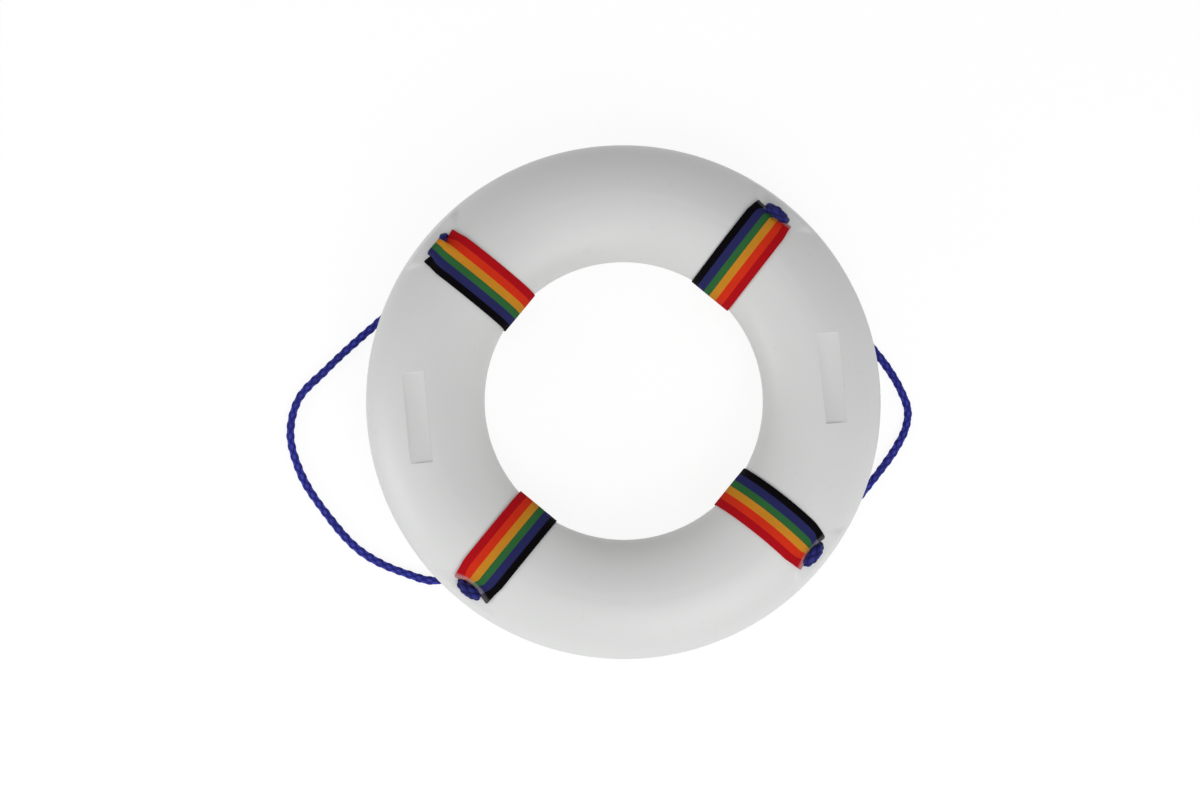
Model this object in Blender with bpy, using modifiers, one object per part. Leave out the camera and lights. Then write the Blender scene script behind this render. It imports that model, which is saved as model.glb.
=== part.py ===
"""Life ring: a foam-filled plastic ring with four webbing straps and two grab ropes.

The ring lies on its back. The axis of the ring is Z, the front faces +Z, and the undersides of the
straps stand on z = 0. The straps are on the diagonals, and the two label recesses are on the X axis.
A radius is measured from the axis of the ring, and a height from the seam between its two shells.
"""

import math

import bmesh
import bpy
from mathutils import Matrix, Vector

# Driving dimensions, in metres and degrees
OUTER_DIAMETER = 0.610
BORE_DIAMETER = 0.330
SHELL_HEIGHT = 0.100
CREST_LAND = 0.008
FLANK_POWER = 1.6
SHELL_WALL = 0.003
CLEARANCE = 0.0003

STATION_ANGLES = {"top_right": 45, "top_left": 135, "bottom_left": 225, "bottom_right": 315}
SLOT_INSET = 0.0205
SLOT_PLAY = 0.0015
SLOT_END_PLAY = 0.0025
SLOT_CORNER_RADIUS = 0.003
SLEEVE_WALL = 0.0022
LIP_WIDTH = 0.0008

PAD_INNER_WIDTH = 0.050
PAD_OUTER_WIDTH = 0.082
PAD_MARGIN = 0.009
PAD_TILT = 28.0
PAD_DRAFT = 13.0

RECESS_LENGTH = 0.106
RECESS_WIDTH = 0.027
RECESS_SETBACK = 0.0075
RECESS_DEPTH = 0.0015

PLUG_HEAD_DIAMETER = 0.024
PLUG_HEAD_THICKNESS = 0.0015
PLUG_SHANK_DIAMETER = 0.014
PLUG_POCKET_DEPTH = 0.0025
PLUG_ANGLES = {"foam_fill_plug": 90, "foam_vent_plug": 270}

STRAP_WIDTH = 0.054
STRAP_THICKNESS = 0.0015
STRAP_GATHERED_WIDTH = 0.027
STRAP_EAR_REACH = 0.0064

ROPE_DIAMETER = 0.009
ROPE_BEND_RADIUS = 0.025
KNOT_LENGTH = 0.037
KNOT_WIDTH = 0.018
KNOT_HEIGHT = 0.014

# Routes of the grab ropes on the floor: degrees round the ring, and metres outside its rim
LEFT_ROUTE = [
    (152.9, -0.0030), (156.5, 0.0066), (160.4, 0.0205), (168.3, 0.0555), (174.1, 0.0861),
    (179.6, 0.0964), (186.3, 0.0921), (195.2, 0.0749), (204.3, 0.0560), (212.5, 0.0273),
    (218.3, 0.0035),
]
RIGHT_ROUTE = [
    (34.0, -0.0180), (23.5, -0.0115), (14.0, -0.0040), (7.3, 0.0050), (2.6, 0.0182),
    (-2.8, 0.0328), (-7.3, 0.0413), (-10.5, 0.0396), (-14.7, 0.0310), (-20.7, 0.0162),
    (-26.7, 0.0035), (-35.6, -0.0095),
]

# Fineness of the turned, curved and round shapes
RING_SEGMENTS = 52
OUTER_QUARTER_STEPS = 6
INNER_QUARTER_STEPS = 4
CORNER_STEPS = 3
ROUND_STEPS = 24
ROPE_BEND_STEPS = 5
ROPE_STEP_DIAMETERS = 2.0
ROPE_BEVEL_RESOLUTION = 2

# Sizes that follow from them
OUTER_RADIUS = OUTER_DIAMETER / 2
BORE_RADIUS = BORE_DIAMETER / 2
CREST_RADIUS = (OUTER_RADIUS + BORE_RADIUS) / 2
HALF_HEIGHT = SHELL_HEIGHT / 2
SEAM_HEIGHT = HALF_HEIGHT + CLEARANCE + STRAP_THICKNESS
ROPE_RADIUS = ROPE_DIAMETER / 2

GATHERED_THICKNESS = STRAP_WIDTH * STRAP_THICKNESS / STRAP_GATHERED_WIDTH
SLOT_WIDTH = CLEARANCE + GATHERED_THICKNESS + SLOT_PLAY + ROPE_DIAMETER + CLEARANCE
SLOT_LENGTH = STRAP_GATHERED_WIDTH + 2 * SLOT_END_PLAY
SLOT_RADIUS = OUTER_RADIUS - SLOT_INSET
SLOT_INNER = SLOT_RADIUS - SLOT_WIDTH / 2
SLOT_OUTER = SLOT_RADIUS + SLOT_WIDTH / 2
LIP_RADIUS = SLOT_INNER - LIP_WIDTH
TAIL_INNER = SLOT_INNER + CLEARANCE
TAIL_OUTER = TAIL_INNER + GATHERED_THICKNESS
ROPE_IN_SLOT = SLOT_OUTER - CLEARANCE - ROPE_RADIUS

# Longer than the wall or the ring that a cutter goes through
OVERSHOOT = 0.005
THROUGH = SHELL_HEIGHT + 4 * OVERSHOOT

for leftover in list(bpy.data.objects):
    bpy.data.objects.remove(leftover)

part_collection = bpy.data.collections.new("life_ring")
cutter_collection = bpy.data.collections.new("cutters")
for collection in (part_collection, cutter_collection):
    bpy.context.scene.collection.children.link(collection)


def section_half_sizes(inset):
    """Half width beside the crest land, and half height, of the ring's section moved in by inset."""
    return CREST_RADIUS - BORE_RADIUS - CREST_LAND / 2 - inset, HALF_HEIGHT - inset


def section_reach(height, inset=0.0):
    """Distance of the section's flank from the crest circle at a height above the seam."""
    width, top = section_half_sizes(inset)
    return CREST_LAND / 2 + width * (1 - (height / top) ** 2) ** (1 / FLANK_POWER)


def section_height(radius, inset=0.0):
    """Height of the section's surface above the seam at a radius."""
    width, top = section_half_sizes(inset)
    off_land = max(abs(radius - CREST_RADIUS) - CREST_LAND / 2, 0.0)
    return top * math.sqrt(1 - (off_land / width) ** FLANK_POWER)


PAD_HEIGHT = section_height(LIP_RADIUS)


def pad_level(radius, outset=0.0):
    """Height of a pad's tilted top above the seam at a radius, moved out square to the top by outset."""
    tilt = math.radians(PAD_TILT)
    return PAD_HEIGHT + outset / math.cos(tilt) - (radius - LIP_RADIUS) * math.tan(tilt)



def quarter(inset, steps):
    """Points (reach, height) of a quarter of the section, from the seam up to the crest land."""
    _, top = section_half_sizes(inset)
    heights = [top * math.sin(math.radians(90) * step / steps) for step in range(steps + 1)]
    return [(section_reach(height, inset), height) for height in heights]


def half_section(inset, steps):
    """Points (radius, height) over the top of the section, from the bore to the rim."""
    rising = quarter(inset, steps)
    bore_side = [(CREST_RADIUS - reach, height) for reach, height in rising]
    rim_side = [(CREST_RADIUS + reach, height) for reach, height in reversed(rising)]
    return bore_side + rim_side


def link(name, data, collection):
    """New object of this data in a collection; one among the cutters is shown as a wire guide."""
    item = bpy.data.objects.new(name, data)
    collection.objects.link(item)
    if collection == cutter_collection:
        item.hide_render = True
        item.display_type = "WIRE"
    return item


def turned(name, outline, collection=cutter_collection):
    """A ring turned about Z from a closed outline of (radius, height), clockwise with Z up."""
    mesh = bpy.data.meshes.new(name)
    count = len(outline)
    points = [(radius, 0.0, SEAM_HEIGHT + height) for radius, height in outline]
    mesh.from_pydata(points, [(i, (i + 1) % count) for i in range(count)], [])
    item = link(name, mesh, collection)
    screw = item.modifiers.new("turn", "SCREW")
    screw.axis = "Z"
    screw.steps = RING_SEGMENTS
    screw.render_steps = RING_SEGMENTS
    screw.use_merge_vertices = True
    screw.merge_threshold = 0.00001
    return item


def plates(name, outlines, thickness, collection=cutter_collection):
    """Flat outlines of (x, y) given a thickness along Z, centred on z = 0, as one welded mesh."""
    curve = bpy.data.curves.new(name, "CURVE")
    curve.dimensions = "2D"
    curve.fill_mode = "BOTH"
    curve.extrude = thickness / 2
    for outline in outlines:
        spline = curve.splines.new("POLY")
        spline.points.add(len(outline) - 1)
        for point, (x, y) in zip(spline.points, outline):
            point.co = (x, y, 0.0, 1.0)
        spline.use_cyclic_u = True
    return made_mesh(link(name, curve, collection), collection)


def made_mesh(item, collection):
    """A curve object replaced by a mesh object of its evaluated shape, with its caps welded on."""
    name = item.name
    depsgraph = bpy.context.evaluated_depsgraph_get()
    mesh = bpy.data.meshes.new_from_object(item.evaluated_get(depsgraph))
    welder = bmesh.new()
    welder.from_mesh(mesh)
    bmesh.ops.remove_doubles(welder, verts=welder.verts, dist=0.00001)
    bmesh.ops.recalc_face_normals(welder, faces=welder.faces)
    welder.to_mesh(mesh)
    welder.free()
    place = item.matrix_world.copy()
    bpy.data.objects.remove(item)
    replacement = link(name, mesh, collection)
    replacement.matrix_world = place
    return replacement


def combine(target, tool, operation):
    """Boolean on target with a tool that stays editable."""
    modifier = target.modifiers.new(tool.name, "BOOLEAN")
    modifier.object = tool
    modifier.operation = operation
    modifier.solver = "EXACT"


def material(name, colour, roughness):
    """Principled material with one colour and roughness."""
    made = bpy.data.materials.new(name)
    made.use_nodes = True
    shader = made.node_tree.nodes["Principled BSDF"]
    shader.inputs["Base Color"].default_value = (*colour, 1.0)
    shader.inputs["Roughness"].default_value = roughness
    shader.inputs["Metallic"].default_value = 0.0
    made.diffuse_color = (*colour, 1.0)
    return made


def station_matrix(angle):
    """Frame of a strap station: X outwards, Y counter-clockwise, its origin on the axis at the seam."""
    return Matrix.Translation((0, 0, SEAM_HEIGHT)) @ Matrix.Rotation(math.radians(angle), 4, "Z")


def round_the_ring(outline, angles):
    """An outline of (outwards, counter-clockwise) repeated at angles round the ring."""
    turned_outlines = []
    for angle in angles:
        turn = Matrix.Rotation(math.radians(angle), 2)
        turned_outlines.append([tuple(turn @ Vector(point)) for point in outline])
    return turned_outlines


def rounded_rectangle(centre, width, length, corner):
    """Outline of a slot centred at a radius: width outwards, length round the ring."""
    outline = []
    for quadrant, (side_x, side_y) in enumerate(((1, 1), (-1, 1), (-1, -1), (1, -1))):
        middle = (centre + side_x * (width / 2 - corner), side_y * (length / 2 - corner))
        for step in range(CORNER_STEPS + 1):
            turn = math.radians(90 * (quadrant + step / CORNER_STEPS))
            outline.append((middle[0] + corner * math.cos(turn), middle[1] + corner * math.sin(turn)))
    return outline


def slots(name, margin):
    """The four rounded slots through the ring, made larger all round by a margin."""
    outline = rounded_rectangle(
        SLOT_RADIUS, SLOT_WIDTH + 2 * margin, SLOT_LENGTH + 2 * margin, SLOT_CORNER_RADIUS + margin
    )
    item = plates(name, round_the_ring(outline, STATION_ANGLES.values()), THROUGH)
    item.location.z = SEAM_HEIGHT
    return item


def pads(name, inset, side):
    """The four flat, tilted pads that stand out of the rim's shoulder round the slots."""
    rim = OUTER_RADIUS - PAD_MARGIN - inset
    lip_top, rim_top = pad_level(LIP_RADIUS, -inset), pad_level(rim, -inset)
    foot = OVERSHOOT
    spread = (rim_top - foot) * math.tan(math.radians(PAD_DRAFT))
    root = (CREST_RADIUS + LIP_RADIUS) / 2
    outline = [
        (root, foot),
        (root, lip_top),
        (LIP_RADIUS, lip_top),
        (rim, rim_top),
        (rim + spread, foot),
    ]
    if side < 0:
        outline = [(radius, -height) for radius, height in reversed(outline)]
    item = turned(name, outline)
    item.rotation_euler.z = math.radians(180) / RING_SEGMENTS
    inner, outer = CREST_RADIUS, OUTER_RADIUS + OVERSHOOT
    flare = (PAD_OUTER_WIDTH - PAD_INNER_WIDTH) / 2 / (OUTER_RADIUS - PAD_MARGIN - LIP_RADIUS)
    shift = inset * math.hypot(1, flare)

    def half_width(radius):
        return PAD_INNER_WIDTH / 2 + flare * (radius - LIP_RADIUS) - shift

    narrowest = max(inner, LIP_RADIUS - (PAD_INNER_WIDTH / 2 - shift) / flare + OVERSHOOT)
    wedge = [
        (narrowest, -half_width(narrowest)),
        (outer, -half_width(outer)),
        (outer, half_width(outer)),
        (narrowest, half_width(narrowest)),
    ]
    wedges = plates(name + "_wedges", round_the_ring(wedge, STATION_ANGLES.values()), THROUGH)
    wedges.location.z = SEAM_HEIGHT
    combine(item, wedges, "INTERSECT")
    return item


def recess_floor():
    """Centre (radius, height) and tilt of the chord across a label recess, from crest side to rim side."""
    middle = CREST_RADIUS + RECESS_SETBACK
    near, far = middle - RECESS_WIDTH / 2, middle + RECESS_WIDTH / 2
    near_height, far_height = section_height(near), section_height(far)
    tilt = math.atan2(near_height - far_height, RECESS_WIDTH)
    return middle, (near_height + far_height) / 2, tilt


def recess_blocks(name, margin):
    """Two tilted blocks that sink the label recesses, with their floors and sides moved out by a margin."""
    middle, height, tilt = recess_floor()
    depth = RECESS_DEPTH + margin
    block = bmesh.new()
    for angle in (0, 180):
        place = (
            station_matrix(angle)
            @ Matrix.Translation((middle, 0, height))
            @ Matrix.Rotation(tilt, 4, "Y")
            @ Matrix.Translation((0, 0, HALF_HEIGHT / 2 - depth))
            @ Matrix.Diagonal((RECESS_WIDTH + 2 * margin, RECESS_LENGTH + 2 * margin, HALF_HEIGHT, 1))
        )
        bmesh.ops.create_cube(block, size=1.0, matrix=place)
    mesh = bpy.data.meshes.new(name)
    block.to_mesh(mesh)
    block.free()
    return link(name, mesh, cutter_collection)


def plug_pockets(name, margin):
    """Two round pockets in the back crest for the plugs' heads, made larger by a margin."""
    depth = PLUG_POCKET_DEPTH + margin
    radius = PLUG_HEAD_DIAMETER / 2 + CLEARANCE + margin
    floor = -HALF_HEIGHT + depth
    return upright_cylinders(name, radius, floor - HALF_HEIGHT / 2, HALF_HEIGHT)


def upright_cylinders(name, radius, middle, length):
    """A cylinder at each plug, with its middle at a height above the seam."""
    round_mesh = bmesh.new()
    for angle in PLUG_ANGLES.values():
        turn = Matrix.Rotation(math.radians(180) / ROUND_STEPS, 4, "Z")
        place = station_matrix(angle) @ Matrix.Translation((CREST_RADIUS, 0, middle)) @ turn
        bmesh.ops.create_cone(
            round_mesh,
            cap_ends=True,
            segments=ROUND_STEPS,
            radius1=radius,
            radius2=radius,
            depth=length,
            matrix=place,
        )
    mesh = bpy.data.meshes.new(name)
    round_mesh.to_mesh(mesh)
    round_mesh.free()
    return link(name, mesh, cutter_collection)


def float_half(name, inset, side, steps, open_seam, collection=cutter_collection):
    """Half of the ring's form, moved in by inset: its turned body and pads.

    side is 1 for the front and -1 for the back. With open_seam it runs on past the seam, as a cavity
    does, and otherwise it stops half a clearance short of it.
    """
    outline = half_section(inset, steps)
    seam = -OVERSHOOT if open_seam else CLEARANCE / 2
    ends = (outline[0][0], seam), (outline[-1][0], seam)
    middle = outline if open_seam else outline[1:-1]
    outline = [ends[0], *middle, ends[1]]
    if side < 0:
        outline = [(radius, -height) for radius, height in reversed(outline)]
    item = turned(name, outline, collection)
    combine(item, pads(name + "_pads", inset, side), "UNION")
    return item


def shell(name, side, plastic):
    """One moulded half of the ring, hollow behind, with its half of each sleeve through the ring."""
    item = float_half(name, 0.0, side, OUTER_QUARTER_STEPS, False, part_collection)
    cavity = float_half(name + "_cavity", SHELL_WALL, side, INNER_QUARTER_STEPS, True)
    sleeves = slots(name + "_sleeves", SLEEVE_WALL)
    through = slots(name + "_slots", 0.0)
    if side > 0:
        combine(cavity, sleeves, "DIFFERENCE")
        combine(cavity, recess_blocks(name + "_recess_backs", SHELL_WALL), "DIFFERENCE")
        for tool in (recess_blocks(name + "_recesses", 0.0), cavity, through):
            combine(item, tool, "DIFFERENCE")
    else:
        hole = PLUG_SHANK_DIAMETER / 2 + CLEARANCE
        holes = upright_cylinders(name + "_plug_holes", hole, -HALF_HEIGHT, HALF_HEIGHT / 2)
        combine(cavity, sleeves, "DIFFERENCE")
        combine(cavity, plug_pockets(name + "_pocket_backs", SHELL_WALL), "DIFFERENCE")
        for tool in (plug_pockets(name + "_pockets", 0.0), cavity, through, holes):
            combine(item, tool, "DIFFERENCE")
    item.data.materials.append(plastic)
    return item


def foam_core(foam):
    """The foam that fills both shells, a clearance inside their walls and round their sleeves."""
    inset = SHELL_WALL + CLEARANCE
    upper = half_section(inset, INNER_QUARTER_STEPS)
    lower = [(radius, -height) for radius, height in reversed(upper)]
    item = turned("foam_core", upper + lower[1:-1], part_collection)
    for side, label in ((1, "front"), (-1, "back")):
        combine(item, pads(f"core_{label}_pads", inset, side), "UNION")
    recesses = recess_blocks("core_recesses", inset)
    pockets = plug_pockets("core_pockets", inset)
    for tool in (recesses, pockets, slots("core_slots", SLEEVE_WALL + CLEARANCE)):
        combine(item, tool, "DIFFERENCE")
    item.data.materials.append(foam)
    return item


def plug(name, plastic):
    """A round plug with a flat head, pressed into the back shell."""
    head = PLUG_HEAD_DIAMETER / 2
    shank = PLUG_SHANK_DIAMETER / 2
    top = SHELL_WALL
    head_floor = -CLEARANCE - PLUG_HEAD_THICKNESS
    mesh = bpy.data.meshes.new(name)
    outline = [(0.0, top), (shank, top), (shank, -CLEARANCE), (head, -CLEARANCE), (head, head_floor),
               (0.0, head_floor)]
    edges = [(i, i + 1) for i in range(len(outline) - 1)]
    mesh.from_pydata([(radius, 0.0, height) for radius, height in outline], edges, [])
    item = link(name, mesh, part_collection)
    screw = item.modifiers.new("turn", "SCREW")
    screw.axis = "Z"
    screw.steps = ROUND_STEPS
    screw.render_steps = ROUND_STEPS
    screw.use_merge_vertices = True
    screw.merge_threshold = 0.00001
    place = station_matrix(PLUG_ANGLES[name])
    item.matrix_world = place @ Matrix.Translation((CREST_RADIUS, 0, PLUG_POCKET_DEPTH - HALF_HEIGHT))
    item.data.materials.append(plastic)
    return item


def strap_face(outset):
    """Points (outwards, height) of one face of a strap, from its front ear over the crest to the seam.

    The ear lies on the pad's tilted top.
    The webbing is straight across its width, so on the bore's side, where the ring is hollow across
    the strap, it stands off by the ring's sagitta and touches only at its two edges. The ring's flat
    facets there reach in a little past its round form.
    """
    facet_reach = math.cos(math.radians(180) / RING_SEGMENTS)
    level = pad_level(LIP_RADIUS, outset)
    ear_end = LIP_RADIUS + STRAP_EAR_REACH
    flank_foot = CREST_RADIUS + section_reach(level, -outset)
    points = [(ear_end, pad_level(ear_end, outset)), (flank_foot, level)]
    rising = quarter(-outset, OUTER_QUARTER_STEPS)
    points += [(CREST_RADIUS + reach, height) for reach, height in rising if height > level]
    for reach, height in reversed(rising):
        touching = (CREST_RADIUS - reach) * facet_reach
        points.append((math.sqrt(touching**2 - (STRAP_WIDTH / 2) ** 2), height))
    return points


def strap(name, angle, webbing):
    """A webbing loop round the inner part of the ring and back through its slot, gathered in the slot."""
    faces = []
    for outset in (CLEARANCE, CLEARANCE + STRAP_THICKNESS):
        front = strap_face(outset)
        back = [(outwards, -height) for outwards, height in reversed(front)]
        faces.append(front + back[1:])
    band = plates(name, [faces[0] + faces[1][::-1]], STRAP_WIDTH, part_collection)
    upright = Matrix.Rotation(math.radians(90), 4, "X")
    band.data.transform(upright)

    inner_top, outer_top = (
        pad_level(radius, CLEARANCE + STRAP_THICKNESS / 2) for radius in (TAIL_INNER, TAIL_OUTER)
    )
    tail_outline = [
        (TAIL_INNER, -inner_top),
        (TAIL_OUTER, -outer_top),
        (TAIL_OUTER, outer_top),
        (TAIL_INNER, inner_top),
    ]
    tail = plates(name + "_tail", [tail_outline], STRAP_GATHERED_WIDTH)
    tail.data.transform(upright)

    notch_depth = SLOT_RADIUS - TAIL_OUTER
    notch_outline = []
    for step in range(ROUND_STEPS):
        turn = math.radians(360) * step / ROUND_STEPS
        outwards = SLOT_RADIUS + notch_depth * math.cos(turn)
        notch_outline.append((outwards, (SLOT_LENGTH + LIP_WIDTH) / 2 * math.sin(turn)))
    notch = plates(name + "_notch", [notch_outline], THROUGH)

    for item in (band, tail, notch):
        item.matrix_world = station_matrix(angle)
    combine(band, notch, "DIFFERENCE")
    combine(band, tail, "UNION")
    band.data.materials.append(webbing)
    return band


def rope_descent(angle, exit_side):
    """Centreline of a rope end, from inside its knot down the slot and round to the floor.

    exit_side is 1 where the rope leaves counter-clockwise and -1 where it leaves clockwise. The bend
    starts inside the slot, so that it keeps its radius below the ring.
    """
    bend_top = -SEAM_HEIGHT + ROPE_RADIUS + ROPE_BEND_RADIUS
    mouth = pad_level(ROPE_IN_SLOT)
    mouth_turn = math.asin(min(1.0, max(0.0, (bend_top + mouth) / ROPE_BEND_RADIUS)))
    start = -ROPE_BEND_RADIUS * (1 - math.cos(mouth_turn)) / 2
    points = [(start, knot_middle()), (start, bend_top)]
    for step in range(1, ROPE_BEND_STEPS + 1):
        turn = math.radians(90) * step / ROPE_BEND_STEPS
        along = start + ROPE_BEND_RADIUS * (1 - math.cos(turn))
        points.append((along, bend_top - ROPE_BEND_RADIUS * math.sin(turn)))
    frame = station_matrix(angle)
    placed = [frame @ Vector((ROPE_IN_SLOT, exit_side * along, height)) for along, height in points]
    cut = 1 + max(1, math.ceil(math.degrees(mouth_turn) / 90 * ROPE_BEND_STEPS - 0.5))
    return placed, cut


def knot_middle():
    """Height of a knot's middle above the seam: it lies on the strap's fold at the slot."""
    return pad_level(SLOT_RADIUS, 2 * CLEARANCE + STRAP_THICKNESS + KNOT_HEIGHT / 2)


def split_at_mouth(angle, exit_side):
    """The descent's points as far as the slot's back mouth, and from there on, a clearance apart."""
    points, cut = rope_descent(angle, exit_side)
    middle = (points[cut] + points[cut + 1]) / 2
    step = (points[cut + 1] - points[cut]).normalized() * CLEARANCE / 2
    return points[: cut + 1] + [middle - step], [middle + step] + points[cut + 1 :]


def smooth_curve(points, first_direction, last_direction):
    """Dense points of a cubic Hermite curve through points, with given directions at its ends."""
    count = len(points)
    tangents = []
    for i in range(count):
        if i == 0:
            tangents.append(first_direction)
        elif i == count - 1:
            tangents.append(last_direction)
        else:
            before = (points[i] - points[i - 1]).length
            after = (points[i + 1] - points[i]).length
            slope = (points[i] - points[i - 1]) / before * after + (points[i + 1] - points[i]) / after * before
            tangents.append(slope.normalized())
    dense = []
    for i in range(count - 1):
        span = (points[i + 1] - points[i]).length
        for step in range(ROUND_STEPS):
            t = step / ROUND_STEPS
            dense.append(
                (2 * t**3 - 3 * t**2 + 1) * points[i]
                + (t**3 - 2 * t**2 + t) * span * tangents[i]
                + (3 * t**2 - 2 * t**3) * points[i + 1]
                + (t**3 - t**2) * span * tangents[i + 1]
            )
    return dense + [points[-1]]


def evenly_spaced(points, spacing):
    """Points read off a dense line at even steps, with both ends kept."""
    lengths = [0.0]
    for a, b in zip(points, points[1:]):
        lengths.append(lengths[-1] + (b - a).length)
    count = max(2, round(lengths[-1] / spacing))
    read, index = [], 0
    for step in range(count + 1):
        wanted = lengths[-1] * step / count
        while index < len(points) - 2 and lengths[index + 1] < wanted:
            index += 1
        part = (wanted - lengths[index]) / (lengths[index + 1] - lengths[index])
        read.append(points[index].lerp(points[index + 1], min(1.0, part)))
    return read


def rope_tube(name, points, collection):
    """A round rope of straight runs between points."""
    curve = bpy.data.curves.new(name, "CURVE")
    curve.dimensions = "3D"
    curve.bevel_depth = ROPE_RADIUS
    curve.bevel_resolution = ROPE_BEVEL_RESOLUTION
    curve.use_fill_caps = True
    spline = curve.splines.new("POLY")
    spline.points.add(len(points) - 1)
    for point, place in zip(spline.points, points):
        point.co = (*place, 1.0)
    return made_mesh(link(name, curve, collection), collection)


def knot(name, angle, exit_side, rope):
    """A stopper knot on the front mouth of a slot, with the rope's end that goes down the slot."""
    end_points, _ = split_at_mouth(angle, exit_side)
    ball = bmesh.new()
    bmesh.ops.create_uvsphere(ball, u_segments=16, v_segments=8, radius=1.0)
    mesh = bpy.data.meshes.new(name)
    ball.to_mesh(mesh)
    ball.free()
    item = link(name, mesh, part_collection)
    size = Matrix.Diagonal((KNOT_WIDTH / 2, KNOT_LENGTH / 2, KNOT_HEIGHT / 2, 1))
    lean = Matrix.Rotation(math.radians(PAD_TILT), 4, "Y")
    mesh.transform(Matrix.Translation((SLOT_RADIUS, 0, knot_middle())) @ lean @ size)
    item.matrix_world = station_matrix(angle)
    combine(item, rope_tube(name + "_shank", end_points, cutter_collection), "UNION")
    mesh.materials.append(rope)
    return item


def grab_rope(name, first, last, route, rope):
    """The free stretch of a rope between two slots, lying on the floor outside the ring's rim."""
    _, lead_in = split_at_mouth(*first)
    _, lead_out = split_at_mouth(*last)
    floor_points = [lead_in[-1]]
    for angle, outside in route:
        radius = OUTER_RADIUS + outside
        turn = math.radians(angle)
        floor_points.append(Vector((radius * math.cos(turn), radius * math.sin(turn), ROPE_RADIUS)))
    floor_points.append(lead_out[-1])
    leaving = station_matrix(first[0]).to_3x3() @ Vector((0, first[1], 0))
    arriving = station_matrix(last[0]).to_3x3() @ Vector((0, -last[1], 0))
    dense = smooth_curve(floor_points, leaving, arriving)
    on_floor = evenly_spaced(dense, ROPE_STEP_DIAMETERS * ROPE_DIAMETER)
    item = rope_tube(name, lead_in[:-1] + on_floor + lead_out[-2::-1], part_collection)
    item.data.materials.append(rope)
    return item


def build():
    white_plastic = material("white_shell", (0.80, 0.79, 0.77), 0.45)
    foam = material("foam", (0.72, 0.60, 0.33), 0.90)
    plug_plastic = material("plug_plastic", (0.70, 0.69, 0.66), 0.50)
    webbing = material("rainbow_webbing", (0.42, 0.05, 0.03), 0.85)
    blue_rope = material("blue_rope", (0.03, 0.035, 0.22), 0.60)

    shell("front_shell", 1, white_plastic)
    shell("back_shell", -1, white_plastic)
    foam_core(foam)
    for name in PLUG_ANGLES:
        plug(name, plug_plastic)
    for place, angle in STATION_ANGLES.items():
        strap(f"strap_{place}", angle, webbing)

    exit_sides = {"top_left": 1, "bottom_left": -1, "top_right": -1, "bottom_right": 1}
    ends = {place: (angle, exit_sides[place]) for place, angle in STATION_ANGLES.items()}
    for place, end in ends.items():
        knot(f"knot_{place}", *end, blue_rope)
    grab_rope("left_grab_rope", ends["top_left"], ends["bottom_left"], LEFT_ROUTE, blue_rope)
    grab_rope("right_grab_rope", ends["top_right"], ends["bottom_right"], RIGHT_ROUTE, blue_rope)


build()
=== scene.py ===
import math

import bmesh
import bpy
from mathutils import Matrix, Vector


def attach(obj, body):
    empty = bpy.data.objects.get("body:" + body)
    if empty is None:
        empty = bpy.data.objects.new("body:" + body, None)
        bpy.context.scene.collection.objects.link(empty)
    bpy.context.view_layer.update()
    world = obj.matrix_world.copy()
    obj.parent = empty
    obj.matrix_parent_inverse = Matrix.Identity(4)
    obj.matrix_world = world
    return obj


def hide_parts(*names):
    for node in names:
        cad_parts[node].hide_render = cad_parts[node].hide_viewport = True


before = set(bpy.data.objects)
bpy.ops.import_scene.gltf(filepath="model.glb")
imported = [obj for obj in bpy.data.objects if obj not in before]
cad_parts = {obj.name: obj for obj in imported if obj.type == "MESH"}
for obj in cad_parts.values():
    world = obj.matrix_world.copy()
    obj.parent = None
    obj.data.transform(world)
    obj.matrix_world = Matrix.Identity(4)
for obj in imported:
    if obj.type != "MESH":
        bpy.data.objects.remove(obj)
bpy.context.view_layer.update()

# Camera. The ring was photographed from nearly straight above, 4 degrees towards the picture's lower
# edge. It lies a little turned in the picture and right of its middle.
SEAM = 0.0518
RING_TURN, RING_PITCH, RING_YAW = math.radians(5.48), math.radians(3.74), math.radians(1.44)
CAMERA_PLACE = (-0.02849, 0.00033, 2.4)
CAMERA_LENS = 60.73

camera_data = bpy.data.cameras.new("camera")
camera_data.sensor_width = 36.0
camera_data.lens = CAMERA_LENS
camera = bpy.data.objects.new("camera", camera_data)
bpy.context.scene.collection.objects.link(camera)
picture = Matrix.Rotation(-RING_TURN, 3, "Z")
picture = picture @ Matrix.Rotation(RING_PITCH, 3, "X") @ Matrix.Rotation(-RING_YAW, 3, "Y")
camera.location = picture @ Vector(CAMERA_PLACE) + Vector((0, 0, SEAM))
camera.rotation_euler = picture.to_euler()
bpy.context.scene.camera = camera

# Grab ropes. Two lengths of 9 mm braided polypropylene rope, eight strands each. A rope goes down one
# slot, lies on the floor outside the ring's rim, and comes up the other slot of its side.
ROPE_DIAMETER = 0.009
ROPE_BEND = 0.025
# In degrees: the steps round the bend at a slot's back mouth, and where on it the rope leaves the slot
BEND_STEP, BEND_AT_MOUTH = 3, 27
ROPE_IN_SLOT = 0.28675
PAD_TOP = 0.0384
PAD_TILT = math.radians(28)
LIP_RADIUS = 0.27665
OUTER_RADIUS = 0.305
SLOT_RADIUS = 0.2845
STATIONS = {"top_right": 45, "top_left": 135, "bottom_left": 225, "bottom_right": 315}
# 1 where the rope leaves its slot counter-clockwise, and -1 where it leaves clockwise
ROPE_SIDES = {"top_left": 1, "bottom_left": -1, "top_right": -1, "bottom_right": 1}
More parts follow.
